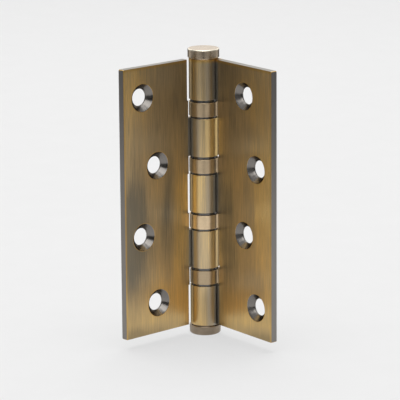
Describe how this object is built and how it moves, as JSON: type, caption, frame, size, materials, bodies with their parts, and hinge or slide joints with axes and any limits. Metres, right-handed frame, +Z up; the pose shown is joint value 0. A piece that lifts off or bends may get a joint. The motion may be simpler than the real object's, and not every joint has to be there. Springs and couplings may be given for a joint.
{
  "type": "butt hinge",
  "caption": "Ball-bearing butt hinge in an antique brass finish: two leaves with zigzag countersunk holes, swinging on a fixed pin with a flat tip at each end.",
  "frame": {"origin": "middle of the frame leaf's four screw holes, on the leaf's flat back face", "axes": "+Z up along the pin, +X along the frame leaf away from the pin, +Y out of the frame leaf's back into the door frame"},
  "size_m": [0.0439, 0.0441, 0.1096],
  "materials": {
    "leaf": "steel plated in dark antique brass, brushed along the pin",
    "tip": "turned steel in the same finish, slightly greyer",
    "sleeve": "satin brass",
    "pin": "ground steel",
    "race": "ground steel",
    "cage": "stamped brass",
    "ball": "polished steel"
  },
  "bodies": {
    "frame": {"frame_leaf": "leaf", "hinge_pin": "pin", "top_tip": "tip", "bottom_tip": "tip", "bearing_1_upper_race": "race", "bearing_2_lower_race": "race", "bearing_2_sleeve": "sleeve", "bearing_3_upper_race": "race", "bearing_4_lower_race": "race", "bearing_4_sleeve": "sleeve"},
    "door": {"door_leaf": "leaf", "bearing_1_lower_race": "race", "bearing_1_sleeve": "sleeve", "bearing_2_upper_race": "race", "bearing_3_lower_race": "race", "bearing_3_sleeve": "sleeve", "bearing_4_upper_race": "race"},
    "cage_1": {"bearing_1_cage": "cage", "bearing_1_balls": "ball"},
    "cage_2": {"bearing_2_cage": "cage", "bearing_2_balls": "ball"},
    "cage_3": {"bearing_3_cage": "cage", "bearing_3_balls": "ball"},
    "cage_4": {"bearing_4_cage": "cage", "bearing_4_balls": "ball"}
  },
  "joints": [
    {"name": "leaf_swing", "type": "hinge", "parent": "frame", "child": "door", "pos_m": [-0.0253, -0.0041, 0], "axis": [0, 0, 1], "range_deg": [-184.6, 85.4]},
    {"name": "cage_1_roll", "type": "hinge", "parent": "frame", "child": "cage_1", "pos_m": [-0.0253, -0.0041, 0], "axis": [0, 0, 1], "range_deg": [-92.3, 42.7]},
    {"name": "cage_2_roll", "type": "hinge", "parent": "frame", "child": "cage_2", "pos_m": [-0.0253, -0.0041, 0], "axis": [0, 0, 1], "range_deg": [-92.3, 42.7]},
    {"name": "cage_3_roll", "type": "hinge", "parent": "frame", "child": "cage_3", "pos_m": [-0.0253, -0.0041, 0], "axis": [0, 0, 1], "range_deg": [-92.3, 42.7]},
    {"name": "cage_4_roll", "type": "hinge", "parent": "frame", "child": "cage_4", "pos_m": [-0.0253, -0.0041, 0], "axis": [0, 0, 1], "range_deg": [-92.3, 42.7]}
  ],
  "couplings": [
    {"joint": "cage_1_roll", "follows": "leaf_swing", "ratio": 0.5},
    {"joint": "cage_2_roll", "follows": "leaf_swing", "ratio": 0.5},
    {"joint": "cage_3_roll", "follows": "leaf_swing", "ratio": 0.5},
    {"joint": "cage_4_roll", "follows": "leaf_swing", "ratio": 0.5}
  ]
}
